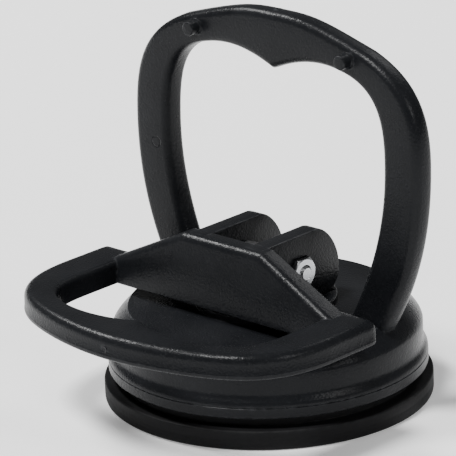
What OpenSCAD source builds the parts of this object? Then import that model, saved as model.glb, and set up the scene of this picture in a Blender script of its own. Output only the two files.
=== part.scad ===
// Lever suction cup: a flat rubber pad under a bell housing with a fixed loop handle.
// A folding loop lever turns on a bolt through the eye of a steel stem. Its two ears ride
// on a boss on the bell's deck and pull the middle of the pad up into the bell.
// Z is up. The origin is the middle of the pad's flat face. The bolt runs along X, and the
// lever points to -Y at rest. Everything is in millimetres.

/* [Rubber pad] */
// Diameter of the pad's flat face
pad_d = 55; // [54:0.5:58]
// Thickness of the pad's rim
pad_rim_t = 3.3; // [3:0.1:3.5]
// Top of the thick hub that holds the anchor
hub_top = 7; // [6.5:0.1:7.2]
// Diameter of the hub's top
hub_d = 20; // [20:1:22]

/* [Bell housing] */
// Height of the bell's lower edge, which rests on the pad's raised ring
bell_z = 5.1; // [4.9:0.1:5.3]
// Diameter of the band round the bell's lower edge
rim_d = 53.4; // [53:0.1:53.6]
// Diameter of the drum above the band
drum_d = 51.8; // [51.4:0.1:52]
// Height of the flat deck
deck_z = 15.6; // [15.4:0.1:15.8]
// Diameter of the flat deck
deck_d = 46.2; // [45:0.1:47]
// Diameter of the round boss that the ears press on
boss_d = 23.6; // [22:0.1:26]

/* [Fixed handle] */
// Height of the handle's top
handle_top = 64.65; // [64.2:0.05:65]
// Half of the handle's outer width
handle_half_w = 31.5; // [31:0.1:32]
// Middle of the handle's thickness in Y, at the height lean_z
handle_mid_y = 4.25; // [4.1:0.05:4.4]
// Thickness of the handle, front to back
handle_t = 4.4; // [4.2:0.1:4.6]
// Angle that the handle leans back by, in degrees
handle_lean = 1.7; // [1.4:0.1:1.8]
// Height of the two stop pegs
peg_z = 59.4; // [59:0.1:59.8]
// Half of the distance between the stop pegs
peg_x = 16.6; // [16:0.1:17]

/* [Lever] */
// Reach of the lever from the bolt to the tip of its loop
lever_reach = 38.9; // [38.5:0.1:39.2]
// Half of the loop's outer width
loop_half_w = 30.5; // [30.2:0.1:30.8]
// Depth of the loop, from its top to its flat underside
loop_t = 4.1; // [3.8:0.1:4.3]
// Top of the web and the ears, above the bolt
web_top = 6.35; // [6.1:0.05:6.4]
// Inner face of each ear, in X
ear_in = 4.5; // [4.5:0.05:4.6]
// Outer face of each ear, in X
ear_out = 7.85; // [7.8:0.05:8]

/* [Pivot] */
// Height of the bolt's axis at rest
pin_z = 22.25; // [22.2:0.05:22.3]
// Diameter of the bolt's shank
bolt_d = 2.5; // [2.4:0.1:2.5]
// Width across the flats of the nut
nut_af = 5; // [4.8:0.1:5]
// Thickness of the nut
nut_t = 2; // [1.8:0.1:2]
// Diameter of the stem's post
post_d = 8.6; // [8.4:0.1:8.6]

/* [Hidden] */
$fn = 96;
over = 1;

// Clearances
bolt_play = 0.05;
eye_play = 0.07;
bore_play = 0.1;
insert_play = 0.05;
nut_play = 0.05;
rest_play = 0.1;

// Rubber pad: a raised ring carries the bell, and a spigot inside it keeps the bell centred
pad_r = pad_d / 2;
pad_bevel = 0.35;
ring_out = 24.8;
shell_in = 23.4;
spigot_out = shell_in - rest_play;
spigot_in = 22;
spigot_top = bell_z + 1.1;
hub_r = hub_d / 2;
hub_foot_r = hub_r + 3;

// Anchor: a keyed steel disc, riveted to the stem and moulded into the hub
plate_r = 8.5;
plate_z = 2.2;
plate_t = 1.5;
key_hole_r = 1.1;
key_hole_ring = 6.2;
key_holes = 4;
tenon_r = 2.5;
tenon_play = 0.02;
rivet_r = 3.4;
rivet_z = 1.4;

// Stem: a round post with two flats at its top, which leave the eye
post_r = post_d / 2;
eye_r = 2.9;
eye_foot_z = pin_z - 5;

// Bell
rim_r = rim_d / 2;
drum_r = drum_d / 2;
deck_r = deck_d / 2;
boss_r = boss_d / 2;
band_z = 6.9;
waist_z = 9.2;
shoulder_z = 11.8;
shoulder_pull_z = 12.9;
ceiling_z = 13.3;
tube_r = 7;
tube_z = 11.9;
rib_z = 10.4;
rib_t = 1.6;
ribs = 4;
ear_low = loop_t + 1.1;
boss_z = pin_z - ear_low - rest_play;
stem_bore_r = post_r + bore_play;

// Scoops in the boss: room for the ears' round corners while the lever swings up
scoop_y = 2.6;
scoop_depth = 1.8;
scoop_r = 9.8;
scoop_side_play = 0.25;

// Lever, measured from the bolt's axis
loop_top = loop_t - ear_low;
loop_back = 7.1;
loop_in_half_w = 22.5;
web_front = 10.9;
web_lean = 1.85;
web_t = 3.5;
web_draft = 0.7;
web_top_half_w = 8.7;
web_foot_half_w = loop_in_half_w + 2.1;
ear_reach = 9.6;
ear_corner_r = 3.3;
ear_overlap = 1;

// Pivot hardware
head_r = 2.25;
head_t = 1.7;
head_pocket = 1.1;
head_pocket_r = head_r + 0.15;
nut_pocket = 1;
nut_turn = 30;
bolt_proud = 0.4;
socket_r = 0.8;
socket_depth = 0.8;
nut_chamfer = 0.3;

// Height about which the handle leans
lean_z = 36;

// Stop pegs, from their tips back into the handle
peg_r = 1.2;
peg_tip_y = 0.7;
peg_root_y = 3.4;

// Points along a cubic curve, without its first point
function curve(a, b, c, d, n = 12) = [
    for (i = [1:n])
        let (t = i / n, s = 1 - t)
        s * s * s * a + 3 * s * s * t * b + 3 * s * t * t * c + t * t * t * d
];

// A half outline and its mirror image in X, as one closed outline
function mirrored(points) = concat(
    points,
    [for (i = [len(points) - 1:-1:0]) if (points[i].x > 0) [-points[i].x, points[i].y]]
);

// Outer edge of the fixed handle, from its foot inside the shoulder up to its top
function handle_outer() = concat(
    [[23.2, 13.4]],
    curve([23.2, 13.4], [28.4, 21.8], [handle_half_w, 30.7], [handle_half_w, 42.3]),
    curve([handle_half_w, 42.3], [handle_half_w, 49.4], [30.5, 56.8], [19.8, 60.95]),
    curve([19.8, 60.95], [7.9, handle_top], [6.1, handle_top], [0, handle_top])
);

// Inner edge of the fixed handle, from its foot up to the cusp between two fingers
function handle_inner() = concat(
    [[15.4, 13.4]],
    curve([15.4, 13.4], [20.1, 22.4], [23.7, 31.2], [23.7, 42]),
    curve([23.7, 42], [23.7, 49.55], [22.6, 55.4], [14.6, 56.9]),
    curve([14.6, 56.9], [10.1, 57.8], [5.8, 57.4], [0, 54.9])
);

// Outer edge of the lever's loop, seen from above, from its back corner to its tip
function loop_outer() = concat(
    [[loop_half_w, -loop_back]],
    curve([loop_half_w, -16.9], [loop_half_w, -26.2], [27.4, -31.6], [19.6, -34.9]),
    curve([19.6, -34.9], [13.7, -37.4], [6.5, -lever_reach], [0, -lever_reach])
);

// Inner edge of the lever's loop, from the web to the cusp between two fingers
function loop_inner() = concat(
    [[loop_in_half_w, 1 - web_front]],
    curve([loop_in_half_w, -18.1], [loop_in_half_w, -24.7], [22.4, -29], [15.3, -31.2]),
    curve([15.3, -31.2], [11.3, -32.5], [4.7, -32.2], [0, -29.7])
);

// Side outline of an ear, in Y and Z from the bolt: flat below, with a round end
function ear_outline() = concat(
    [[-loop_back - ear_overlap, web_top], [-loop_back - ear_overlap, -ear_low]],
    [for (i = [0:10])
        let (a = i * 9 - 90)
        [ear_reach - ear_corner_r + ear_corner_r * cos(a),
         ear_corner_r - ear_low + ear_corner_r * sin(a)]],
    curve([ear_reach, -0.6], [ear_reach, 2.2], [7, web_top - 0.3], [4.2, web_top], 10)
);

// Stands an outline drawn in Y and Z up, from x = from to x = to
module along_x(from, to) {
    translate([from, 0, 0])
        rotate([90, 0, 90])
            linear_extrude(to - from)
                children();
}

// Stands an outline drawn in X and Z up, from y = from to y = to
module along_y(from, to) {
    translate([0, to, 0])
        rotate([90, 0, 0])
            linear_extrude(to - from)
                children();
}

// A round bar along X
module rod_x(r, from, to) {
    translate([from, 0, 0])
        rotate([0, 90, 0])
            cylinder(h = to - from, r = r);
}

// The anchor and stem, grown by play, as they sit in the rubber
module insert_room(play) {
    translate([0, 0, rivet_z - play])
        cylinder(h = plate_z - rivet_z + play, r = rivet_r + play);
    translate([0, 0, plate_z - play])
        cylinder(h = plate_t + 2 * play, r = plate_r + play);
    translate([0, 0, plate_z])
        cylinder(h = hub_top + over - plate_z, r = post_r + play);
}

// Rubber keys that fill the anchor's holes
module rubber_keys() {
    for (i = [0:key_holes - 1])
        rotate([0, 0, i * 360 / key_holes])
            translate([key_hole_ring, 0, plate_z - 2 * insert_play])
                cylinder(h = plate_t + 4 * insert_play, r = key_hole_r - insert_play);
}

module rubber_cup() {
    color([0.07, 0.07, 0.08]) {
        difference() {
            rotate_extrude()
                polygon([
                    [0, 0],
                    [pad_r - pad_bevel, 0],
                    [pad_r, pad_bevel],
                    [pad_r, pad_rim_t - pad_bevel],
                    [pad_r - pad_bevel, pad_rim_t],
                    [ring_out, pad_rim_t],
                    [ring_out, bell_z],
                    [spigot_out, bell_z],
                    [spigot_out, spigot_top],
                    [spigot_in, spigot_top],
                    [spigot_in - 1, pad_rim_t],
                    [hub_foot_r, pad_rim_t],
                    [hub_r, hub_top],
                    [0, hub_top]
                ]);
            insert_room(insert_play);
        }
        rubber_keys();
    }
}

module anchor_plate() {
    color([0.62, 0.63, 0.64])
        difference() {
            translate([0, 0, plate_z])
                cylinder(h = plate_t, r = plate_r);
            translate([0, 0, plate_z - over])
                cylinder(h = plate_t + 2 * over, r = tenon_r + tenon_play);
            for (i = [0:key_holes - 1])
                rotate([0, 0, i * 360 / key_holes])
                    translate([key_hole_ring, 0, plate_z - over])
                        cylinder(h = plate_t + 2 * over, r = key_hole_r);
        }
}

module pull_stem() {
    color([0.66, 0.67, 0.68])
        difference() {
            union() {
                translate([0, 0, rivet_z])
                    cylinder(h = plate_z - rivet_z, r = rivet_r);
                translate([0, 0, rivet_z])
                    cylinder(h = plate_z + plate_t - rivet_z, r = tenon_r);
                translate([0, 0, plate_z + plate_t])
                    cylinder(h = eye_foot_z - plate_z - plate_t, r = post_r);
                intersection() {
                    translate([0, 0, eye_foot_z])
                        cylinder(h = pin_z + eye_r - eye_foot_z, r = post_r);
                    union() {
                        translate([-post_r, -eye_r, eye_foot_z])
                            cube([post_d, 2 * eye_r, pin_z - eye_foot_z]);
                        translate([0, 0, pin_z])
                            rod_x(eye_r, -post_r, post_r);
                    }
                }
            }
            translate([0, 0, pin_z])
                rod_x(bolt_d / 2 + eye_play, -post_d, post_d);
        }
}

// The bell, turned in one piece, with its deck, boss and guide tube
module bell() {
    rotate_extrude()
        polygon(concat(
            [[rim_r, bell_z]],
            curve([rim_r, band_z], [rim_r, band_z + 1], [drum_r, waist_z - 1], [drum_r, waist_z], 8),
            curve([drum_r, shoulder_z], [drum_r, shoulder_pull_z], [deck_r + 1, deck_z - 1.1],
                  [deck_r, deck_z], 10),
            [
                [boss_r, deck_z],
                [boss_r, boss_z],
                [stem_bore_r, boss_z],
                [stem_bore_r, tube_z],
                [tube_r, tube_z],
                [tube_r, ceiling_z],
                [shell_in, ceiling_z],
                [shell_in, bell_z]
            ]
        ));
}

module bell_ribs() {
    for (i = [0:ribs - 1])
        rotate([0, 0, 45 + i * 360 / ribs])
            translate([tube_r - 0.2, -rib_t / 2, rib_z])
                cube([shell_in - tube_r + 0.7, rib_t, ceiling_z - rib_z + 0.3]);
}

module cam_scoops() {
    for (side = [-1, 1])
        translate([side * (ear_in + ear_out) / 2, scoop_y, boss_z - scoop_depth + scoop_r])
            rod_x(scoop_r, -(ear_out - ear_in) / 2 - scoop_side_play,
                  (ear_out - ear_in) / 2 + scoop_side_play);
}

module fixed_handle() {
    translate([0, handle_mid_y, lean_z])
        rotate([-handle_lean, 0, 0])
            translate([0, 0, -lean_z])
                along_y(-handle_t / 2, handle_t / 2)
                    polygon(concat(
                        mirrored(handle_outer()),
                        [for (p = handle_inner()) [-p.x, p.y]],
                        [for (i = [len(handle_inner()) - 2:-1:0]) handle_inner()[i]]
                    ));
}

module stop_pegs() {
    for (side = [-1, 1])
        translate([side * peg_x, peg_root_y, peg_z])
            rotate([90, 0, 0])
                cylinder(h = peg_root_y - peg_tip_y, r = peg_r);
}

module housing() {
    color([0.12, 0.12, 0.13]) {
        difference() {
            union() {
                bell();
                bell_ribs();
                fixed_handle();
            }
            cam_scoops();
        }
        stop_pegs();
    }
}

module lever_loop() {
    translate([0, 0, -ear_low])
        linear_extrude(loop_t)
            difference() {
                polygon(mirrored(loop_outer()));
                polygon(mirrored(loop_inner()));
            }
}

// The web: a wide sloping-sided wall across the back of the loop
module lever_web() {
    intersection() {
        along_x(-web_foot_half_w, web_foot_half_w)
            polygon([
                [-web_front, web_top],
                [-web_front - web_lean, -ear_low],
                [-web_front + web_t + web_draft - web_lean, -ear_low],
                [-web_front + web_t, web_top]
            ]);
        along_y(-web_front - web_lean - over, -loop_back + over)
            polygon([
                [-web_top_half_w, web_top],
                [-web_foot_half_w, loop_top],
                [-web_foot_half_w, -ear_low],
                [web_foot_half_w, -ear_low],
                [web_foot_half_w, loop_top],
                [web_top_half_w, web_top]
            ]);
    }
}

module lever_ears() {
    for (side = [-1, 1])
        along_x(side < 0 ? -ear_out : ear_in, side < 0 ? -ear_in : ear_out)
            polygon(ear_outline());
}

module lever() {
    color([0.12, 0.12, 0.13])
        translate([0, 0, pin_z])
            difference() {
                union() {
                    lever_loop();
                    lever_web();
                    lever_ears();
                }
                rod_x(bolt_d / 2 + bolt_play, -ear_out - over, ear_out + over);
                rod_x(head_pocket_r, -ear_out - over, -ear_out + head_pocket);
                translate([ear_out - nut_pocket, 0, 0])
                    rotate([0, 90, 0])
                        rotate([0, 0, nut_turn])
                            cylinder(h = nut_pocket + over, d = (nut_af + 2 * nut_play) / cos(30), $fn = 6);
            }
}

module pivot_bolt() {
    head_x = -ear_out + head_pocket;
    end_x = ear_out - nut_pocket + nut_t + bolt_proud;
    color([0.75, 0.75, 0.76])
        translate([0, 0, pin_z])
            difference() {
                union() {
                    rod_x(bolt_d / 2, head_x - 0.1, end_x);
                    rod_x(head_r, head_x - head_t, head_x);
                }
                translate([head_x - head_t - over, 0, 0])
                    rotate([0, 90, 0])
                        cylinder(h = socket_depth + over, r = socket_r, $fn = 6);
            }
}

module hex_nut() {
    nut_x = ear_out - nut_pocket;
    color([0.78, 0.78, 0.8])
        translate([nut_x, 0, pin_z])
            rotate([0, 90, 0])
                difference() {
                    intersection() {
                        rotate([0, 0, nut_turn])
                            cylinder(h = nut_t, d = nut_af / cos(30), $fn = 6);
                        rotate_extrude()
                            polygon([
                                [0, 0],
                                [nut_af / 2 / cos(30) + 0.01, 0],
                                [nut_af / 2 / cos(30) + 0.01, nut_t - nut_chamfer],
                                [nut_af / 2 - 0.1, nut_t],
                                [0, nut_t]
                            ]);
                    }
                    translate([0, 0, -over])
                        cylinder(h = nut_t + 2 * over, r = bolt_d / 2 + tenon_play);
                }
}

rubber_cup();
anchor_plate();
pull_stem();
housing();
lever();
pivot_bolt();
hex_nut();
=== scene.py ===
# %% [markdown]
# # Lever suction cup
# A flat rubber pad sits under a bell with a fixed loop handle. A folding loop lever turns on a bolt
# through the eye of a steel stem, and its ears ride on the bell's boss.
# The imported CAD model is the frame: every piece below is built round it, in the same place.
# Z is up, the origin is the middle of the pad's flat face, the bolt runs along X, and the lever
# points to -Y. Outlines are written in millimetres and turned into metres by `make`.

# %% Frame
import math

import bmesh
import bpy
from mathutils import Matrix, Vector


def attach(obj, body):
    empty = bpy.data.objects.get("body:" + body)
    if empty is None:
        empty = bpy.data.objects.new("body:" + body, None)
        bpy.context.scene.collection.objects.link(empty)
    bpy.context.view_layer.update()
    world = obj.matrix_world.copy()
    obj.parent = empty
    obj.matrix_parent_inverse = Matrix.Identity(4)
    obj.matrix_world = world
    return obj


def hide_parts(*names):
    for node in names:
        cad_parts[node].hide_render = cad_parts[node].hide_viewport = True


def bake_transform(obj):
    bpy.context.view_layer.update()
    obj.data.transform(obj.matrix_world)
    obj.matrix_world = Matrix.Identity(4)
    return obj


MM = 0.001
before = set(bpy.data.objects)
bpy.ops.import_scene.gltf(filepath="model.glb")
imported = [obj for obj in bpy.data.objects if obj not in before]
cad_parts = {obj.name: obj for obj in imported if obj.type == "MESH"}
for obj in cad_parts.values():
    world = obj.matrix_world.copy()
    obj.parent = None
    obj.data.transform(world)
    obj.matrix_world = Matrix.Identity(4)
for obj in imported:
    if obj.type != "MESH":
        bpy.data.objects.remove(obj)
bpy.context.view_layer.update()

# %% [markdown]
# ## Camera
# A long lens stands well back, 43.4 degrees round to the right and 19.2 degrees up, and is rolled by
# 2 degrees. It could be placed by hand in the viewport. Here its matrix is built from those angles,
# so that each of them can be read and changed by itself.

# %% Camera
azimuth = math.radians(43.387)
elevation = math.radians(19.167)
roll = math.radians(-2.05)
distance = 0.61586
aim_height, aim_left = 0.02854, 0.00599

away = Vector((
    math.sin(azimuth) * math.cos(elevation),
    -math.cos(azimuth) * math.cos(elevation),
    math.sin(elevation),
))
level_right = Vector((math.cos(azimuth), math.sin(azimuth), 0))
level_up = away.cross(level_right)
cam_right = math.cos(roll) * level_right + math.sin(roll) * level_up
cam_up = -math.sin(roll) * level_right + math.cos(roll) * level_up
target = Vector((0, 0, aim_height)) - level_right * aim_left

camera_data = bpy.data.cameras.new("camera")
camera_data.sensor_width = 36
camera_data.lens = 294.8
camera_data.clip_end = 20
camera = bpy.data.objects.new("camera", camera_data)
turn = Matrix((cam_right, cam_up, away)).transposed().to_4x4()
camera.matrix_world = Matrix.Translation(target + away * distance) @ turn
bpy.context.scene.collection.objects.link(camera)
bpy.context.scene.camera = camera
print("Camera at", [round(v, 4) for v in camera.matrix_world.translation])

# %% [markdown]
# ## Light
# Black plastic shows its shape almost only by its highlights. A broad overhead key gives the soft
# sheen on the flat tops, and three small soft boxes, at the left, right and back, draw the thin
# bright lines along the rounded edges. One large box would wash those lines out.

# %% Lights
middle = Vector((0, 0, 0.03))


def add_light(name, kind, energy, direction, place=(0, 0, 0)):
    """A light at place that shines along direction. Returns its data, for its size."""
    data = bpy.data.lights.new(name, kind)
    data.energy = energy
    light = bpy.data.objects.new(name, data)
    light.location = place
    light.rotation_euler = Vector(direction).to_track_quat("-Z", "Y").to_euler()
    bpy.context.scene.collection.objects.link(light)
    return data


for name, place, size, watts in (
    ("right_light", (0.60, 0.05, 0.42), 0.16, 1.0),
    ("left_light", (-0.58, -0.06, 0.66), 0.18, 6.0),
    ("back_light", (-0.10, 0.66, 0.62), 0.30, 1.0),
):
    box = add_light(name, "AREA", watts, middle - Vector(place), place)
    box.shape = "SQUARE"
    box.size = size
key = add_light("overhead_key", "SUN", 3.6, (0.10, 0.38, -0.92))
key.angle = math.radians(14)

world = bpy.data.worlds.new("studio")
world.use_nodes = True
sky = world.node_tree.nodes["Background"]
sky.inputs["Color"].default_value = (1, 1, 1, 1)
sky.inputs["Strength"].default_value = 0.14
bpy.context.scene.world = world

# %% [markdown]
# ## Floor
# A plain pale sheet with a little light of its own, so that the ground stays bright and the shadows
# soft. It lies a hair below the pad's flat face, because two faces in one plane render as stripes.

# %% Floor
floor_reach = 3.0
floor_drop = 0.00005
floor_mesh = bpy.data.meshes.new("floor")
floor_mesh.from_pydata(
    [
        (-floor_reach, -floor_reach, 0), (floor_reach, -floor_reach, 0),
        (floor_reach, floor_reach, 0), (-floor_reach, floor_reach, 0),
    ],
    [], [(0, 1, 2, 3)],
)
floor = bpy.data.objects.new("floor", floor_mesh)
floor.location.z = -floor_drop
bpy.context.scene.collection.objects.link(floor)

floor_paint = bpy.data.materials.new("floor_paint")
floor_paint.use_nodes = True
floor_shader = floor_paint.node_tree.nodes["Principled BSDF"]
for label, value in (
    ("Base Color", (0.95, 0.95, 0.95, 1)),
    ("Roughness", 0.9),
    ("Specular IOR Level", 0.1),
    ("Emission Color", (1, 1, 1, 1)),
    ("Emission Strength", 0.25),
):
    floor_shader.inputs[label].default_value = value
floor_mesh.materials.append(floor_paint)
print("Floor reaches", floor_reach, "m each way")

# %% [markdown]
# ## Shared surface effects
# Every material here needs the same few effects: grain, worn edges, uneven tone and the mark of an
# ejector pin. Each could be wired again in every material. Instead each is one node group, built
# once and placed with its own values. These helpers keep the wiring short.

# %% Node helpers
def new_group(name, inputs, outputs):
    """An empty shader node group with these sockets, and its input and output nodes."""
    tree = bpy.data.node_groups.new(name, "ShaderNodeTree")
    for label, kind, value in inputs:
        socket = tree.interface.new_socket(label, in_out="INPUT", socket_type=kind)
        if value is not None:
            socket.default_value = value
    for label, kind in outputs:
        tree.interface.new_socket(label, in_out="OUTPUT", socket_type=kind)
    return tree, tree.nodes.new("NodeGroupInput"), tree.nodes.new("NodeGroupOutput")


def feed(tree, value, socket):
    """Sets a socket to a number, or links another socket to it."""
    if isinstance(value, (int, float)):
        socket.default_value = value
    else:
        tree.links.new(value, socket)


def maths(tree, operation, *values, clamp=False):
    """A math node; each value is a number or a socket."""
    node = tree.nodes.new("ShaderNodeMath")
    node.operation = operation
    node.use_clamp = clamp
    for i, value in enumerate(values):
        feed(tree, value, node.inputs[i])
    return node.outputs[0]


def noise(tree, vector, scale, detail=3.0, roughness=0.5):
    """A noise texture's value."""
    node = tree.nodes.new("ShaderNodeTexNoise")
    tree.links.new(vector, node.inputs["Vector"])
    node.inputs["Detail"].default_value = detail
    node.inputs["Roughness"].default_value = roughness
    feed(tree, scale, node.inputs["Scale"])
    return node.outputs[0]


def remap(tree, value, low, high):
    """value from low..high to 0..1, clamped."""
    node = tree.nodes.new("ShaderNodeMapRange")
    tree.links.new(value, node.inputs["Value"])
    node.inputs["From Min"].default_value = low
    node.inputs["From Max"].default_value = high
    return node.outputs[0]


def mix_colours(tree, factor, first, second):
    """A colour mix. first is a socket, and second is a socket or a plain colour."""
    node = tree.nodes.new("ShaderNodeMix")
    node.data_type = "RGBA"
    tree.links.new(factor, node.inputs["Factor"])
    tree.links.new(first, node.inputs["A"])
    if isinstance(second, tuple):
        node.inputs["B"].default_value = second
    else:
        tree.links.new(second, node.inputs["B"])
    return node.outputs["Result"]


# %% [markdown]
# ### Moulded grain
# A spark-eroded mould leaves fine bumps with shallower, broader ones under them. Two noises and a
# cell texture add up to that height. The finest peaks also come out as a speckle for the colour.

# %% Moulded grain
broad_scale, broad_share, pit_share = 0.22, 0.5, 0.35
speckle_from, speckle_to = 0.58, 0.74

grain_group, g_in, g_out = new_group(
    "moulded_grain",
    [("Vector", "NodeSocketVector", None), ("Scale", "NodeSocketFloat", 2200.0)],
    [("Height", "NodeSocketFloat"), ("Speckle", "NodeSocketFloat")],
)
spot, scale = g_in.outputs["Vector"], g_in.outputs["Scale"]
fine = noise(grain_group, spot, scale, 2.0, 0.6)
broad = noise(grain_group, spot, maths(grain_group, "MULTIPLY", scale, broad_scale), 2.0)
pits = grain_group.nodes.new("ShaderNodeTexVoronoi")
grain_group.links.new(spot, pits.inputs["Vector"])
grain_group.links.new(scale, pits.inputs["Scale"])
with_pits = maths(grain_group, "MULTIPLY_ADD", pits.outputs["Distance"], pit_share, fine)
height = maths(grain_group, "MULTIPLY_ADD", broad, broad_share, with_pits)
grain_group.links.new(height, g_out.inputs["Height"])
speckle = remap(grain_group, fine, speckle_from, speckle_to)
grain_group.links.new(speckle, g_out.inputs["Speckle"])
print(grain_group.name, "has", len(grain_group.nodes), "nodes")

# %% [markdown]
# ### Worn edges
# Handling lightens the edges of a dark moulding. A Bevel node turns the normal near an edge, so the
# angle between it and the true normal finds every edge, whatever the mesh. Noise breaks the line up.

# %% Worn edges
flat_below, edge_above = 0.995, 0.9
patch_scale, patch_from, patch_to = 900.0, 0.4, 0.62

edge_group, e_in, e_out = new_group(
    "worn_edges",
    [("Vector", "NodeSocketVector", None), ("Radius", "NodeSocketFloat", 0.0006)],
    [("Mask", "NodeSocketFloat")],
)
bevel = edge_group.nodes.new("ShaderNodeBevel")
bevel.samples = 4
edge_group.links.new(e_in.outputs["Radius"], bevel.inputs["Radius"])
geometry = edge_group.nodes.new("ShaderNodeNewGeometry")
dot = edge_group.nodes.new("ShaderNodeVectorMath")
dot.operation = "DOT_PRODUCT"
edge_group.links.new(bevel.outputs["Normal"], dot.inputs[0])
edge_group.links.new(geometry.outputs["Normal"], dot.inputs[1])
sharpness = remap(edge_group, dot.outputs["Value"], flat_below, edge_above)
patches = noise(edge_group, e_in.outputs["Vector"], patch_scale, 4.0)
breakup = remap(edge_group, patches, patch_from, patch_to)
worn_mask = maths(edge_group, "MULTIPLY", sharpness, breakup, clamp=True)
edge_group.links.new(worn_mask, e_out.inputs["Mask"])
print(edge_group.name, "has", len(edge_group.nodes), "nodes")

# %% [markdown]
# ### Uneven tone
# No real surface has one flat colour. A broad noise drifts between a darker and a lighter shade, and
# the same cloud is put out for the roughness, so that colour and gloss change together.

# %% Uneven tone
cloud_from, cloud_to = 0.3, 0.7

tone_group, t_in, t_out = new_group(
    "uneven_tone",
    [
        ("Vector", "NodeSocketVector", None),
        ("Dark", "NodeSocketColor", (0.02, 0.02, 0.02, 1)),
        ("Light", "NodeSocketColor", (0.04, 0.04, 0.04, 1)),
        ("Scale", "NodeSocketFloat", 90.0),
    ],
    [("Color", "NodeSocketColor"), ("Cloud", "NodeSocketFloat")],
)
drift = noise(tone_group, t_in.outputs["Vector"], t_in.outputs["Scale"], 4.0, 0.55)
cloud = remap(tone_group, drift, cloud_from, cloud_to)
shade = mix_colours(tone_group, cloud, t_in.outputs["Dark"], t_in.outputs["Light"])
tone_group.links.new(shade, t_out.inputs["Color"])
tone_group.links.new(cloud, t_out.inputs["Cloud"])
print(tone_group.name, "has", len(tone_group.nodes), "nodes")

# %% [markdown]
# ### Ejector ring
# The pin that pushes a moulding out leaves a faint round groove. It is too shallow to be worth
# geometry, so it is a dip in the bump height wherever the surface is one radius from a given point.

# %% Ejector ring
ring_group, r_in, r_out = new_group(
    "ejector_ring",
    [
        ("Vector", "NodeSocketVector", None),
        ("Centre", "NodeSocketVector", None),
        ("Radius", "NodeSocketFloat", 0.0012),
        ("Width", "NodeSocketFloat", 0.00016),
    ],
    [("Height", "NodeSocketFloat")],
)
from_centre = ring_group.nodes.new("ShaderNodeVectorMath")
from_centre.operation = "DISTANCE"
ring_group.links.new(r_in.outputs["Vector"], from_centre.inputs[0])
ring_group.links.new(r_in.outputs["Centre"], from_centre.inputs[1])
past_radius = maths(ring_group, "SUBTRACT", from_centre.outputs["Value"], r_in.outputs["Radius"])
off_ring = maths(ring_group, "ABSOLUTE", past_radius)
groove = maths(ring_group, "DIVIDE", off_ring, r_in.outputs["Width"], clamp=True)
ring_group.links.new(groove, r_out.inputs["Height"])
print(ring_group.name, "has", len(ring_group.nodes), "nodes")

# %% [markdown]
# ## Materials
# Four finishes: black satin plastic with a fine grain and a blue-grey cast, matt black rubber with a
# little bloom, dull plated steel for the stem, and bright zinc for the bolt and nut. They differ
# only in their values, so one function wires them all from the groups above.

# %% Material builder
WEAR, FLECK = 0.6, 0.12
CLOUD_ROUGH, SPECKLE_ROUGH = 0.1, 0.08
RING_DEPTH, BUMP_STRENGTH = 3.0, 0.6


def use_group(tree, group, coords, **values):
    """A group node fed with the object coordinates, with its other inputs set."""
    node = tree.nodes.new("ShaderNodeGroup")
    node.node_tree = group
    tree.links.new(coords, node.inputs["Vector"])
    for label, value in values.items():
        node.inputs[label].default_value = value
    return node


def surface(
    name, dark, light, edge_tint, rough, grain_size, grain_depth, metallic=0.0, specular=0.5, marks=()
):
    """A procedural material: uneven tone, grain in bump and roughness, and lighter worn edges."""
    material = bpy.data.materials.new(name)
    material.use_nodes = True
    material.diffuse_color = (*light, 1)
    tree = material.node_tree
    shader = tree.nodes["Principled BSDF"]
    shader.inputs["Metallic"].default_value = metallic
    shader.inputs["Specular IOR Level"].default_value = specular
    coords = tree.nodes.new("ShaderNodeTexCoord").outputs["Object"]
    tone = use_group(tree, tone_group, coords, Dark=(*dark, 1), Light=(*light, 1))
    grain = use_group(tree, grain_group, coords, Scale=1 / grain_size)
    edges = use_group(tree, edge_group, coords)

    wear = maths(tree, "MULTIPLY", edges.outputs["Mask"], WEAR)
    worn = mix_colours(tree, wear, tone.outputs["Color"], (*edge_tint, 1))
    fleck = maths(tree, "MULTIPLY", grain.outputs["Speckle"], FLECK)
    flecked = mix_colours(tree, fleck, worn, (*edge_tint, 1))
    tree.links.new(flecked, shader.inputs["Base Color"])

    base_rough = rough - CLOUD_ROUGH / 2
    spread = maths(tree, "MULTIPLY_ADD", tone.outputs["Cloud"], CLOUD_ROUGH, base_rough)
    gloss = maths(tree, "MULTIPLY_ADD", grain.outputs["Speckle"], SPECKLE_ROUGH, spread)
    tree.links.new(gloss, shader.inputs["Roughness"])

    relief = grain.outputs["Height"]
    for centre, radius in marks:
        ring = use_group(tree, ring_group, coords, Centre=centre, Radius=radius)
        relief = maths(tree, "MULTIPLY_ADD", ring.outputs["Height"], RING_DEPTH, relief)
    bump = tree.nodes.new("ShaderNodeBump")
    bump.inputs["Strength"].default_value = BUMP_STRENGTH
    bump.inputs["Distance"].default_value = grain_depth
    tree.links.new(relief, bump.inputs["Height"])
    tree.links.new(bump.outputs["Normal"], shader.inputs["Normal"])
    return material


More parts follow.
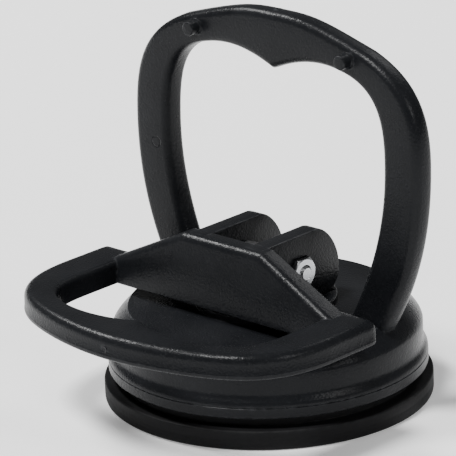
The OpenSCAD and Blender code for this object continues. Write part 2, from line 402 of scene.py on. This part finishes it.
# %% Finishes
plastic = surface(
    "black_satin_plastic",
    dark=(0.0065, 0.007, 0.0082), light=(0.0105, 0.0112, 0.0128), edge_tint=(0.055, 0.057, 0.061),
    rough=0.29, grain_size=0.00040, grain_depth=0.00009, specular=0.115,
    marks=[((-0.0262, 0.0021, 0.0377), 0.0009)],
)
rubber = surface(
    "matt_black_rubber",
    dark=(0.006, 0.006, 0.0065), light=(0.010, 0.010, 0.011), edge_tint=(0.03, 0.03, 0.03),
    rough=0.62, grain_size=0.0007, grain_depth=0.00005, specular=0.14,
)
zinc = surface(
    "bright_zinc",
    dark=(0.34, 0.35, 0.36), light=(0.52, 0.53, 0.55), edge_tint=(0.9, 0.9, 0.9),
    rough=0.24, grain_size=0.0005, grain_depth=0.00001, metallic=1.0,
)
steel = surface(
    "dull_plated_steel",
    dark=(0.34, 0.34, 0.35), light=(0.5, 0.5, 0.51), edge_tint=(0.7, 0.7, 0.7),
    rough=0.36, grain_size=0.0006, grain_depth=0.00002, metallic=1.0,
)
print("Materials:", plastic.name, rubber.name, zinc.name, steel.name)

# %% [markdown]
# ## From outline to mesh
# Nearly every part of the cup is an outline that is turned round an axis or carried along a path.
# Blender's own Screw and Bevel modifiers could do that, but they round every edge alike. Here each
# corner of an outline carries its own fillet radius, as on a maker's drawing.

# %% Outlines
# A fillet may use this share of an edge: less where the corner at the other end has one too.
SHARED_EDGE, WHOLE_EDGE = 0.49, 0.95


def bezier(a, b, c, d, steps):
    """Points along a cubic curve, without its first point."""
    a, b, c, d = map(Vector, (a, b, c, d))
    points = []
    for i in range(1, steps + 1):
        t = i / steps
        u = 1 - t
        points.append(u ** 3 * a + 3 * u ** 2 * t * b + 3 * u * t * t * c + t ** 3 * d)
    return points


def rounded(corners, steps=5):
    """A closed outline from (x, y, fillet radius) corners. A radius of 0 keeps the one point."""
    outline = []
    for i, (x, y, radius) in enumerate(corners):
        here = Vector((x, y))
        if radius == 0:
            outline.append(here)
            continue
        last, following = corners[i - 1], corners[(i + 1) % len(corners)]
        before = Vector(last[:2]) - here
        after = Vector(following[:2]) - here
        half_angle = before.angle(after) / 2
        run = min(
            radius / math.tan(half_angle),
            (SHARED_EDGE if last[2] else WHOLE_EDGE) * before.length,
            (SHARED_EDGE if following[2] else WHOLE_EDGE) * after.length,
        )
        radius = run * math.tan(half_angle)
        middle_way = (before.normalized() + after.normalized()).normalized()
        centre = here + middle_way * radius / math.sin(half_angle)
        start = here + before.normalized() * run - centre
        end = here + after.normalized() * run - centre
        sweep = start.angle_signed(end)
        for k in range(steps + 1):
            outline.append(centre + Matrix.Rotation(-sweep * k / steps, 2) @ start)
    return outline


# %% Skins
def loft(rings, closed=False):
    """(points, faces) of a skin over equally long rings, capped at both ends unless it closes."""
    n = len(rings[0])
    points = [p for ring in rings for p in ring]
    faces = []
    for i in range(len(rings) if closed else len(rings) - 1):
        k = (i + 1) % len(rings)
        for j in range(n):
            following = (j + 1) % n
            faces.append((i * n + j, i * n + following, k * n + following, k * n + j))
    if not closed:
        faces.append(tuple(range(n)))
        faces.append(tuple(range(len(points) - n, len(points))))
    return points, faces


def turned(outline, steps):
    """(points, faces) of a closed outline in (radius, height), spun round Z."""
    rings = []
    for i in range(steps):
        angle = 2 * math.pi * i / steps
        rings.append([(p[0] * math.cos(angle), p[0] * math.sin(angle), p[1]) for p in outline])
    return loft(rings, closed=True)


# %% [markdown]
# `make` welds the points of a skin, points its faces outwards and marks its real edges as sharp, so
# that the fillets shade smoothly and the corners stay crisp. The faces have to agree before a bevel,
# because it would push a corner out instead of cutting it where two of them point opposite ways.

# %% Meshes
CREASE = 32.0


def add_object(name, mesh):
    """An object at the origin that shows mesh."""
    obj = bpy.data.objects.new(name, mesh)
    bpy.context.scene.collection.objects.link(obj)
    return obj


def make(name, shells, material, crease=CREASE, bevel_width=0.0):
    """One object from shells of (points in mm, faces)."""
    bm = bmesh.new()
    for points, faces in shells:
        verts = [bm.verts.new(Vector(p) * MM) for p in points]
        for face in faces:
            bm.faces.new([verts[i] for i in face])
    bmesh.ops.remove_doubles(bm, verts=bm.verts, dist=1e-7)
    bmesh.ops.dissolve_degenerate(bm, edges=bm.edges, dist=1e-7)
    if bevel_width:
        bmesh.ops.recalc_face_normals(bm, faces=bm.faces)
        bmesh.ops.bevel(
            bm, geom=list(bm.edges), offset=bevel_width * MM, segments=4, profile=0.5,
            affect="EDGES",
        )
    bmesh.ops.recalc_face_normals(bm, faces=bm.faces)
    mesh = bpy.data.meshes.new(name)
    bm.to_mesh(mesh)
    bm.free()
    mesh.polygons.foreach_set("use_smooth", [True] * len(mesh.polygons))
    mesh.set_sharp_from_angle(angle=math.radians(crease))
    mesh.materials.append(material)
    return add_object(name, mesh)


def tally(obj):
    """Prints what was made."""
    corners = [[pick(v.co[i] for v in obj.data.vertices) for i in range(3)] for pick in (min, max)]
    size = [round((high - low) / MM, 2) for low, high in zip(*corners)]
    lowest = round(corners[0][2] / MM, 2)
    print(f"{obj.name}: {len(obj.data.polygons)} faces, {size} mm, lowest {lowest} mm")


# %% [markdown]
# ## Bell
# The bell is round but for the scoops in its boss, so it is turned as one shell: a plain band at the
# bottom edge, a flare above a fine parting line, a drum, a round shoulder, the flat deck and the
# boss. Inside, the same outline goes down the bore, round the guide tube and along the ceiling.

# %% Bell shell
CURVE = 12
rim_r, drum_r, deck_r = 26.7, 25.9, 23.1
bell_z, band_z, waist_z, shoulder_z, deck_z = 5.1, 6.9, 9.2, 11.8, 15.6
boss_r, boss_z, bore_r = 11.8, 16.95, 4.4
ceiling_z, inner_r, tube_r, tube_z = 13.3, 23.4, 7.0, 11.9
line_half, line_deep = 0.12, 0.14

line_top = (rim_r, band_z + line_half)
flare = bezier(line_top, (rim_r, band_z + 1.1), (drum_r, waist_z - 1), (drum_r, waist_z), CURVE)
shoulder = bezier(
    (drum_r, shoulder_z), (drum_r, 12.9), (deck_r + 1, deck_z - 1.1), (deck_r, deck_z), CURVE
)
outside = [Vector(line_top)] + flare + [Vector((drum_r, (waist_z + shoulder_z) / 2))] + shoulder
bell_outline = rounded(
    [
        (rim_r, bell_z, 0.25),
        (rim_r, band_z - line_half, 0.05),
        (rim_r - line_deep, band_z, 0.04),
    ]
    + [(p.x, p.y, 0) for p in outside]
    + [
        (boss_r, deck_z, 0.25),
        (boss_r, boss_z, 0.35),
        (bore_r, boss_z, 0.25),
        (bore_r, tube_z, 0.2),
        (tube_r, tube_z, 0.3),
        (tube_r, ceiling_z, 0.5),
        (inner_r, ceiling_z, 0.8),
        (inner_r, bell_z, 0.25),
    ]
)
bell = make("bell", [turned(bell_outline, 192)], plastic)
tally(bell)

# %% [markdown]
# The lever's ears swing down past the top of the boss, which has a round scoop for each. A turned
# shell can't have them, so two short cylinders are taken out of it with an exact Boolean. The
# modifier's result is kept as a plain mesh.

# %% Scoops for the ears
SCOOP_STEPS = 96
scoop_x = (4.25, 8.1)
scoop_y, scoop_z, scoop_r = 2.6, 24.95, 9.8


def cut(obj, tool):
    """obj with tool's volume taken out, as a plain mesh."""
    modifier = obj.modifiers.new("cut", "BOOLEAN")
    modifier.operation = "DIFFERENCE"
    modifier.solver = "EXACT"
    modifier.object = tool
    bpy.context.view_layer.update()
    evaluated = obj.evaluated_get(bpy.context.evaluated_depsgraph_get())
    result = bpy.data.meshes.new_from_object(evaluated)
    obj.modifiers.clear()
    obj.data = result
    result.set_sharp_from_angle(angle=math.radians(CREASE))
    bpy.data.objects.remove(tool)
    return obj


scoop_turns = [2 * math.pi * i / SCOOP_STEPS for i in range(SCOOP_STEPS)]
scoop_ring = [
    (scoop_y + scoop_r * math.cos(a), scoop_z + scoop_r * math.sin(a)) for a in scoop_turns
]
scoops = []
for side in (-1, 1):
    ends = sorted(side * x for x in scoop_x)
    scoops.append(loft([[(x, y, z) for y, z in scoop_ring] for x in ends]))
bell = cut(bell, make("scoop_tool", scoops, plastic))
tally(bell)

# %% [markdown]
# Four ribs stiffen the bell's ceiling between the guide tube and the wall. They are plain bars with
# softened edges, 90 degrees apart, and the pad hides them, so a short loop is all they need.

# %% Inner ribs
rib_half, rib_low, rib_high = 0.8, 10.4, 13.6
rib_start_r, rib_end_r = 6.8, 23.8
rib_section = [(-1, rib_low), (1, rib_low), (1, rib_high), (-1, rib_high)]

ribs = []
for i in range(4):
    angle = math.radians(45 + 90 * i)
    along = Vector((math.cos(angle), math.sin(angle), 0))
    across = Vector((-math.sin(angle), math.cos(angle), 0)) * rib_half
    ribs.append(loft([
        [along * r + across * s + Vector((0, 0, z)) for s, z in rib_section]
        for r in (rib_start_r, rib_end_r)
    ]))
rib_set = make("rib_set", ribs, plastic, bevel_width=0.15)
tally(rib_set)

# %% [markdown]
# ## Fixed handle
# The handle is a flat loop whose inner edge dips to a soft point between two finger curves, so it is
# widest there. A curve object with a bevel profile would keep one width all the way, so the bar is
# lofted between an inner and an outer path instead, and its section stretches to fit. The loop is
# made upright and then leans back a little.

# %% Handle paths
LEG = 36
outer_path = (
    [Vector((23.2, 13.4))]
    + bezier((23.2, 13.4), (28.4, 21.8), (31.5, 30.7), (31.5, 42.3), LEG)
    + bezier((31.5, 42.3), (31.5, 49.4), (30.5, 56.8), (19.8, 60.95), LEG)
    + bezier((19.8, 60.95), (7.9, 64.65), (6.1, 64.65), (0, 64.65), LEG)
)
inner_path = (
    [Vector((15.4, 13.4))]
    + bezier((15.4, 13.4), (20.1, 22.4), (23.7, 31.2), (23.7, 42.0), LEG)
    + bezier((23.7, 42.0), (23.7, 49.55), (22.6, 55.4), (14.6, 56.9), LEG)
    + bezier((14.6, 56.9), (10.1, 57.8), (5.8, 57.4), (0, 54.9), LEG)
)
print("Handle opening:", round(2 * max(p.x for p in inner_path), 1), "mm wide")

# %% Handle
INNER, OUTER = 0, 1
handle_half = 2.2
handle_mid_y, lean_z = 4.25, 36
handle_lean = (
    Matrix.Translation((0, handle_mid_y, lean_z))
    @ Matrix.Rotation(math.radians(-1.7), 4, "X")
    @ Matrix.Translation((0, 0, -lean_z))
)


def bar_section(inner, outer, corners):
    """A bar's section across a path. Each corner is (edge, mm outwards from it, depth, fillet)."""
    across = outer - inner
    width = across.length
    across.normalize()
    flat = rounded([(width + s if edge else s, y, r) for edge, s, y, r in corners], 6)
    return [(inner + across * p.x, p.y) for p in flat]


def both_halves(half):
    """Rings from one side to the middle, then their mirror images to the other side."""
    return half + [[(-x, y, z) for x, y, z in ring] for ring in reversed(half[:-1])]


# Both edges draw in a little to each side of a parting line halfway through the thickness.
handle_corners = [
    (INNER, 0.15, -handle_half, 1.4),
    (OUTER, -0.25, -handle_half, 1.5),
    (OUTER, 0.0, 0, 0),
    (OUTER, -0.25, handle_half, 1.6),
    (INNER, 0.15, handle_half, 1.3),
    (INNER, 0.0, 0, 0),
]
handle_rings = []
for inner, outer in zip(inner_path, outer_path):
    section = bar_section(inner, outer, handle_corners)
    handle_rings.append([handle_lean @ Vector((p.x, y, p.y)) for p, y in section])
handle = make("fixed_handle", [loft(both_halves(handle_rings))], plastic, 38)
tally(handle)

# %% [markdown]
# Two stop pegs stand on the handle's front, each with a low collar at its foot and a softened tip. A
# small rough nub at the top of the loop is where the moulding's sprue was broken off. All of them
# are turned upright and then laid in place.

# %% Stop pegs and sprue nub
peg_x, peg_y, peg_z = 16.6, 2.74, 59.4
peg_r, peg_tip, peg_root = 1.2, 2.04, -0.6
collar_r, collar_top = 1.42, 0.22
LAID_FORWARD = Matrix.Rotation(math.radians(90), 4, "X")


def place_shell(shell, matrix):
    """A shell moved by a matrix."""
    points, faces = shell
    return [matrix @ Vector(p) for p in points], faces


peg_outline = rounded([
    (0, peg_root, 0), (peg_r, peg_root, 0), (peg_r, peg_tip, 0.22), (0, peg_tip, 0),
])
peg_foot = rounded([
    (0, peg_root, 0), (collar_r, peg_root, 0), (collar_r, 0.05, 0.02),
    (peg_r, collar_top, 0.1), (0, collar_top, 0),
])
peg_shells = []
for side in (-1, 1):
    stand = Matrix.Translation((side * peg_x, peg_y, peg_z)) @ LAID_FORWARD
    peg_shells += [place_shell(turned(o, 40), stand) for o in (peg_outline, peg_foot)]
pegs = make("stop_pegs", peg_shells, plastic)

nub_outline = rounded([
    (0, -0.5, 0), (0.75, -0.5, 0), (0.62, 0.13, 0.06), (0.3, 0.02, 0.08), (0, 0.07, 0),
])
nub_shell = turned(nub_outline, 20)
sprue_place = Matrix.Translation((0, 5.1, 64.56))
nub = make("sprue_nub", [place_shell(nub_shell, sprue_place)], plastic)
tally(pegs)

# %% [markdown]
# Bell, ribs, handle, pegs and nub come out of one mould, so they become one piece. It stands for the
# CAD housing and stays with the base.

# %% Housing
def join(name, objects):
    """Several objects' meshes as one object, in their places."""
    bm = bmesh.new()
    for obj in objects:
        bm.from_mesh(obj.data)
    mesh = bpy.data.meshes.new(name)
    bm.to_mesh(mesh)
    bm.free()
    for material in objects[0].data.materials:
        mesh.materials.append(material)
    for obj in objects:
        bpy.data.objects.remove(obj)
    return add_object(name, mesh)


housing = join("housing_moulding", [bell, rib_set, handle, pegs, nub])
tally(housing)
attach(housing, "base")
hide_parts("housing")

# %% [markdown]
# ## Lever
# The lever is one moulding too: a flat loop to pull on, a web across its back, and two ears that
# turn on the bolt. The loop is lofted between two paths like the handle, lying flat: soft along its
# top edges, with a thin parting line low on its side. Heights are measured from the bolt.

# %% Lever paths
ARM = 14
loop_outer = (
    [Vector((30.5, 7.1 + 9.8 * i / ARM)) for i in range(ARM + 1)]
    + bezier((30.5, 16.9), (30.5, 26.2), (27.4, 31.6), (19.6, 34.9), LEG)
    + bezier((19.6, 34.9), (13.7, 37.4), (6.5, 38.9), (0, 38.9), LEG)
)
loop_inner = (
    [Vector((22.5, 7.1 + 11.0 * i / ARM)) for i in range(ARM + 1)]
    + bezier((22.5, 18.1), (22.5, 24.7), (22.4, 29.0), (15.3, 31.2), LEG)
    + bezier((15.3, 31.2), (11.3, 32.5), (4.7, 32.2), (0, 29.7), LEG)
)
print("Lever opening:", round(2 * max(p.x for p in loop_inner), 1), "mm wide")

# %% Lever loop
BACK_STEPS = 5
pin_z = 22.25
loop_top, loop_low = -1.1, -5.2
part_z = -4.4
back_round = 0.9
loop_corners = [
    (INNER, 0.0, loop_low, 0.45),
    (OUTER, 0.0, loop_low, 0.55),
    (OUTER, -0.01, part_z - 0.1, 0),
    (OUTER, 0.0, part_z, 0.02),
    (OUTER, -0.06, part_z + 0.1, 0),
    (OUTER, -0.1, loop_top, 1.5),
    (INNER, 0.1, loop_top, 1.0),
    (INNER, 0.0, part_z + 0.4, 0),
]


def loop_ring(inner, outer, shrink=0.0, shift=0.0):
    """One section of the loop. shrink pulls it in on all sides, for the round back corner."""
    centre = (inner + outer) / 2
    centre_z = (loop_top + loop_low) / 2
    fold = 1 - shrink / ((loop_top - loop_low) / 2)
    narrow = 1 - shrink / ((outer - inner).length / 2)
    return [
        (
            centre.x + (p.x - centre.x) * narrow,
            -(centre.y + (p.y - centre.y) * narrow + shift),
            pin_z + centre_z + (z - centre_z) * fold,
        )
        for p, z in bar_section(inner, outer, loop_corners)
    ]


loop_rings = []
for k in range(BACK_STEPS):
    angle = math.radians(90) * k / BACK_STEPS
    shrink, shift = back_round * (1 - math.sin(angle)), back_round * (1 - math.cos(angle))
    loop_rings.append(loop_ring(loop_inner[0], loop_outer[0], shrink, shift))
for inner, outer in zip(loop_inner[2:], loop_outer[2:]):
    loop_rings.append(loop_ring(inner, outer))
loop_piece = make("lever_loop", [loft(both_halves(loop_rings))], plastic, 38)
tally(loop_piece)

# %% [markdown]
# The web is a wall with a sloping top at each side. Both its faces lean, and its front edge is round
# where the rear one is nearly sharp, which a plain bevel can't do. So it is lofted from front to
# back through copies of its outline, each pulled in a little less than the last, round a quarter
# circle. A low bar behind it ties the two arms together.

# %% Lever web
web_top, web_low, web_foot = 6.35, -5.18, -2.1
web_top_x, web_foot_x = 8.7, 26.4
web_tall = 11.55
front_y, front_fall, front_soft = -10.9, 1.85, 1.25
rear_y, rear_fall, rear_soft = -7.4, 1.15, 0.35
# How far each corner creeps for each millimetre that the outline is pulled in.
top_creep, foot_creep, low_creep = 0.2265, 1.108, 0.4


def web_y(z, front):
    """The web's front or rear face at height z from the bolt. Both lean, the rear one less."""
    fall = (web_top - z) / web_tall
    return front_y - front_fall * fall if front else rear_y - rear_fall * fall


def web_ring(front, into, inset):
    """The web's outline, into it from its front or rear face and pulled in by inset."""
    top = (web_top_x - top_creep * inset, web_top - inset)
    foot = (web_foot_x, web_foot - foot_creep * inset)
    low = web_low + low_creep * inset
    outline = rounded([
        (-top[0], top[1], 1.6), (-foot[0], foot[1], 0), (-foot[0], low, 0),
        (foot[0], low, 0), (foot[0], foot[1], 0), (top[0], top[1], 1.6),
    ])
    return [(p.x, web_y(p.y, front) + (into if front else -into), pin_z + p.y) for p in outline]


quarter = [math.radians(15 * k) for k in range(7)]
web_rings = []
for front, soft in ((True, front_soft), (False, rear_soft)):
    side_rings = [
        web_ring(front, soft * (1 - math.cos(a)), soft * (1 - math.sin(a))) for a in quarter
    ]
    web_rings += side_rings if front else side_rings[::-1]
web = make("lever_web", [loft(web_rings)], plastic, 38)
tally(web)

bar_x, bar_top, bar_low = 25.5, -1.25, -5.19
bar_front, bar_rear = -11.0, -7.14
bar_outline = [(-bar_x, bar_top), (-bar_x, bar_low), (bar_x, bar_low), (bar_x, bar_top)]
bar_rings = [[(x, y, pin_z + z) for x, z in bar_outline] for y in (bar_front, bar_rear)]
back_bar = make("back_bar", [loft(bar_rings)], plastic, 38, bevel_width=0.4)
tally(back_bar)

# %% [markdown]
# The two ears behind the web are cams with round ends. Each has a bore for the bolt, and a pocket in
# its outer face: round for the bolt's head at the left, six-sided for the nut at the right. An ear is
# a closed ring of sections round the bore, so that bore, pocket and outline are one clean skin.

# %% Lever ears
ear_in, ear_out, ear_soft = 4.5, 7.85, 0.3
ear_front, ear_rear, ear_low, ear_top = -9.5, 9.6, -5.2, 6.362
bolt_hole_r, hole_mouth_r, hole_chamfer = 1.30, 1.45, 0.1
pocket_chamfer = 0.12


def closer(outline, spacing):
    """A closed outline with points added, so that none are further apart than spacing."""
    points = []
    for i, here in enumerate(outline):
        there = outline[(i + 1) % len(outline)]
        parts = max(1, math.ceil((there - here).length / spacing))
        points += [here + (there - here) * k / parts for k in range(parts)]
    return points


def hexagon(radius_in, angle):
    """The distance from the centre to a hexagon's edge, with its corners on the first axis."""
    return radius_in / math.cos((angle % math.radians(60)) - math.radians(30))


def ear_shell(side, pocket, depth):
    """An ear on one side. pocket gives the pocket's radius by angle."""
    inside, outside = side * ear_in, side * ear_out
    soft = ear_soft
    rings = []
    for p in ear_outline:
        angle = math.atan2(p.y, p.x)
        far = p.length
        out = Vector((math.cos(angle), math.sin(angle)))
        steps = [
            (bolt_hole_r, inside + side * hole_chamfer),
            (hole_mouth_r, inside),
            (far - soft, inside),
            (far - soft * 0.3, inside + side * soft * 0.3),
            (far, inside + side * soft),
            (far, outside - side * soft),
            (far - soft * 0.12, outside - side * soft * 0.6),
            (far - soft * 0.5, outside - side * soft * 0.16),
            (far - soft, outside),
            (pocket(angle) + pocket_chamfer, outside),
            (pocket(angle), outside - side * pocket_chamfer),
            (pocket(angle), outside - side * depth),
            (bolt_hole_r, outside - side * depth),
        ]
        rings.append([(x, out.x * d, pin_z + out.y * d) for d, x in steps])
    return loft(rings, closed=True)


cam_back = bezier((ear_rear, -0.6), (ear_rear, 2.2), (7.0, 6.05), (4.2, ear_top), 14)
ear_outline = closer(rounded(
    [(ear_front, ear_top, 0.3), (ear_front, ear_low, 0.3), (ear_rear, ear_low, 3.3)]
    + [(ear_rear, -1.3, 0), (ear_rear, -0.6, 0)]
    + [(p.x, p.y, 0) for p in cam_back],
    10,
), 0.7)
right_ear = make("right_ear", [ear_shell(1, lambda a: hexagon(2.55, a), 1.0)], plastic, 30)
left_ear = make("left_ear", [ear_shell(-1, lambda a: 2.4, 1.1)], plastic, 30)
tally(right_ear)

# %% Lever
gate_place = Matrix.Translation((0.5, -38.83, 18.8)) @ LAID_FORWARD
gate = make("gate_nub", [place_shell(nub_shell, gate_place)], plastic)
lever = join("lever_moulding", [loop_piece, web, back_bar, right_ear, left_ear, gate])
tally(lever)
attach(lever, "lever")
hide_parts("lever")

# %% [markdown]
# ## Rubber pad
# The pad is turned too: a flat face, a rim with a fine mould line round its side, the ring that the
# bell rests on, and the hub with the anchor's room inside. The flat face has extra points along it,
# because as the lever swings up its middle domes into the bell with the stem, while its rim stays on
# the surface.

# %% Rubber pad
pad_face = [(r, 0, 0) for r in (0, 4, 8, 12, 16, 20, 24)]
pad_rim = [
    (27.5, 0, 0.4), (27.5, 1.6, 0), (27.47, 1.72, 0), (27.5, 1.84, 0), (27.5, 3.3, 0.3),
]
bell_seat = [
    (24.8, 3.3, 0.2), (24.8, 5.1, 0.08), (23.3, 5.1, 0.05), (23.3, 6.2, 0.3), (22.0, 6.2, 0.3),
]
membrane = [(21.0, 3.3, 0.8), (18.4, 3.3, 0), (15.6, 3.3, 0), (13.0, 3.3, 0.8)]
hub = [
    (10.0, 7.0, 0.6), (4.35, 7.0, 0.1), (4.35, 3.75, 0), (8.55, 3.75, 0), (8.55, 2.15, 0),
    (3.45, 2.15, 0), (3.45, 1.35, 0), (0, 1.35, 0),
]
pad_outline = rounded(pad_face + pad_rim + bell_seat + membrane + hub)
pad = make("rubber_pad", [turned(pad_outline, 176)], rubber)
tally(pad)
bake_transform(pad)
for vertex in pad.data.vertices:
    out = math.hypot(vertex.co.x, vertex.co.y)
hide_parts("rubber_cup")

# %% [markdown]
# ## Stem and anchor plate
# The stem is a turned post whose top is milled to two flats with a round end and a cross bore. The
# post is spun, and the eye is a ring of sections round its bore, like an ear, whose sides follow the
# post's round. The foot is riveted over through the keyed anchor plate inside the rubber.

# %% Stem
post_r, post_top = 4.3, 17.3
eye_r, eye_low, eye_soft = 2.9, -5.4, 0.2
eye_hole_r, eye_mouth_r, eye_chamfer = 1.32, 1.55, 0.25

post_outline = rounded([
    (0, 1.4, 0), (3.4, 1.4, 0.3), (3.4, 2.2, 0), (2.5, 2.2, 0), (2.5, 3.7, 0), (post_r, 3.7, 0.1),
    (post_r, post_top, 0.25), (0, post_top, 0),
])
post = make("stem_post", [turned(post_outline, 96)], steel)

eye_turns = [math.pi * i / 32 for i in range(33)]
eye_outline = closer(rounded(
    [(-eye_r, eye_low, 0.1), (eye_r, eye_low, 0.1)]
    + [(eye_r * math.cos(a), eye_r * math.sin(a), 0) for a in eye_turns]
), 0.4)
eye_rings = []
for p in eye_outline:
    out = p.normalized()
    far = p.length
    half_width = math.sqrt(max(post_r ** 2 - p.x ** 2, 0.1))
    steps = [
        (eye_hole_r, eye_chamfer - post_r),
        (eye_mouth_r, -post_r),
        (far - eye_soft, -half_width),
        (far, eye_soft - half_width),
        (far, half_width - eye_soft),
        (far - eye_soft, half_width),
        (eye_mouth_r, post_r),
        (eye_hole_r, post_r - eye_chamfer),
    ]
    eye_rings.append([(x, out.x * d, pin_z + out.y * d) for d, x in steps])
eye = make("stem_eye", [loft(eye_rings, closed=True)], steel)
stem = join("stem", [post, eye])
tally(stem)
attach(stem, "stem")
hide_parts("pull_stem")

# %% Anchor plate
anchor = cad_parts["anchor_plate"]
anchor.data.materials.clear()
anchor.data.materials.append(steel)
print("anchor_plate keeps its CAD shape, in", steel.name)

# %% [markdown]
# ## Bolt and nut
# A pan-head bolt with a round recess in its head goes in from the left. Its end stands just proud of
# the nut, with the last turns of thread showing. The turns are rings, not a helix: at this size the
# two look the same, and rings can be turned with the rest of the bolt.

# %% Bolt
head_x, recess_deep, recess_r = -8.45, 0.8, 0.8
bolt_r, root_r, head_r = 1.25, 1.06, 2.25
thread_from, thread_to, pitch, root_at = 7.2, 8.95, 0.225, 0.11

bolt_corners = [
    (0, head_x + recess_deep, 0), (recess_r, head_x + recess_deep, 0), (recess_r, -8.35, 0),
    (0.95, head_x, 0), (1.7, head_x, 0.3), (head_r, -8.0, 0.3), (head_r, -6.75, 0.08),
    (bolt_r, -6.75, 0), (bolt_r, thread_from, 0),
]
thread_x = thread_from
while thread_x < thread_to:
    bolt_corners += [(root_r, thread_x + root_at, 0), (bolt_r, thread_x + pitch, 0)]
    thread_x += pitch
bolt_corners += [(bolt_r, 9.0, 0), (1.0, 9.25, 0), (0, 9.25, 0)]
lay = Matrix.Translation((0, 0, pin_z)) @ Matrix.Rotation(math.radians(90), 4, "Y")
bolt = make("pivot_bolt_zinc", [place_shell(turned(rounded(bolt_corners), 48), lay)], zinc)
tally(bolt)
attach(bolt, "lever")
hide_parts("pivot_bolt")

# %% [markdown]
# A hex nut's corners are cut back by a shallow cone on both faces, which leaves the curved line where
# cone and flats meet. The nut is a ring of sections, each as long as the hexagon is there, and the
# cone lowers its rim further where that section stands out further.

# %% Nut
NUT_STEPS = 120
nut_low, nut_high, nut_flat = 6.85, 8.85, 2.5
face_edge = 0.12
cone_slope = math.tan(math.radians(30))
nut_hole_r, hole_lead = 1.27, 0.2

nut_rings = []
for i in range(NUT_STEPS):
    angle = 2 * math.pi * i / NUT_STEPS
    rim = hexagon(nut_flat, angle)
    drop = max(0, rim - nut_flat + face_edge) * cone_slope
    steps = [
        (1.45, nut_low),
        (nut_flat - 0.1, nut_low),
        (rim, nut_low + drop),
        (rim, nut_high - drop),
        (nut_flat - face_edge, nut_high),
        (1.5, nut_high),
        (nut_hole_r, nut_high - hole_lead),
        (nut_hole_r, nut_low + hole_lead),
    ]
    nut_rings.append([(x, d * math.cos(angle), pin_z + d * math.sin(angle)) for d, x in steps])
nut = make("hex_nut_zinc", [loft(nut_rings, closed=True)], zinc, 20)
tally(nut)
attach(nut, "lever")
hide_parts("hex_nut")
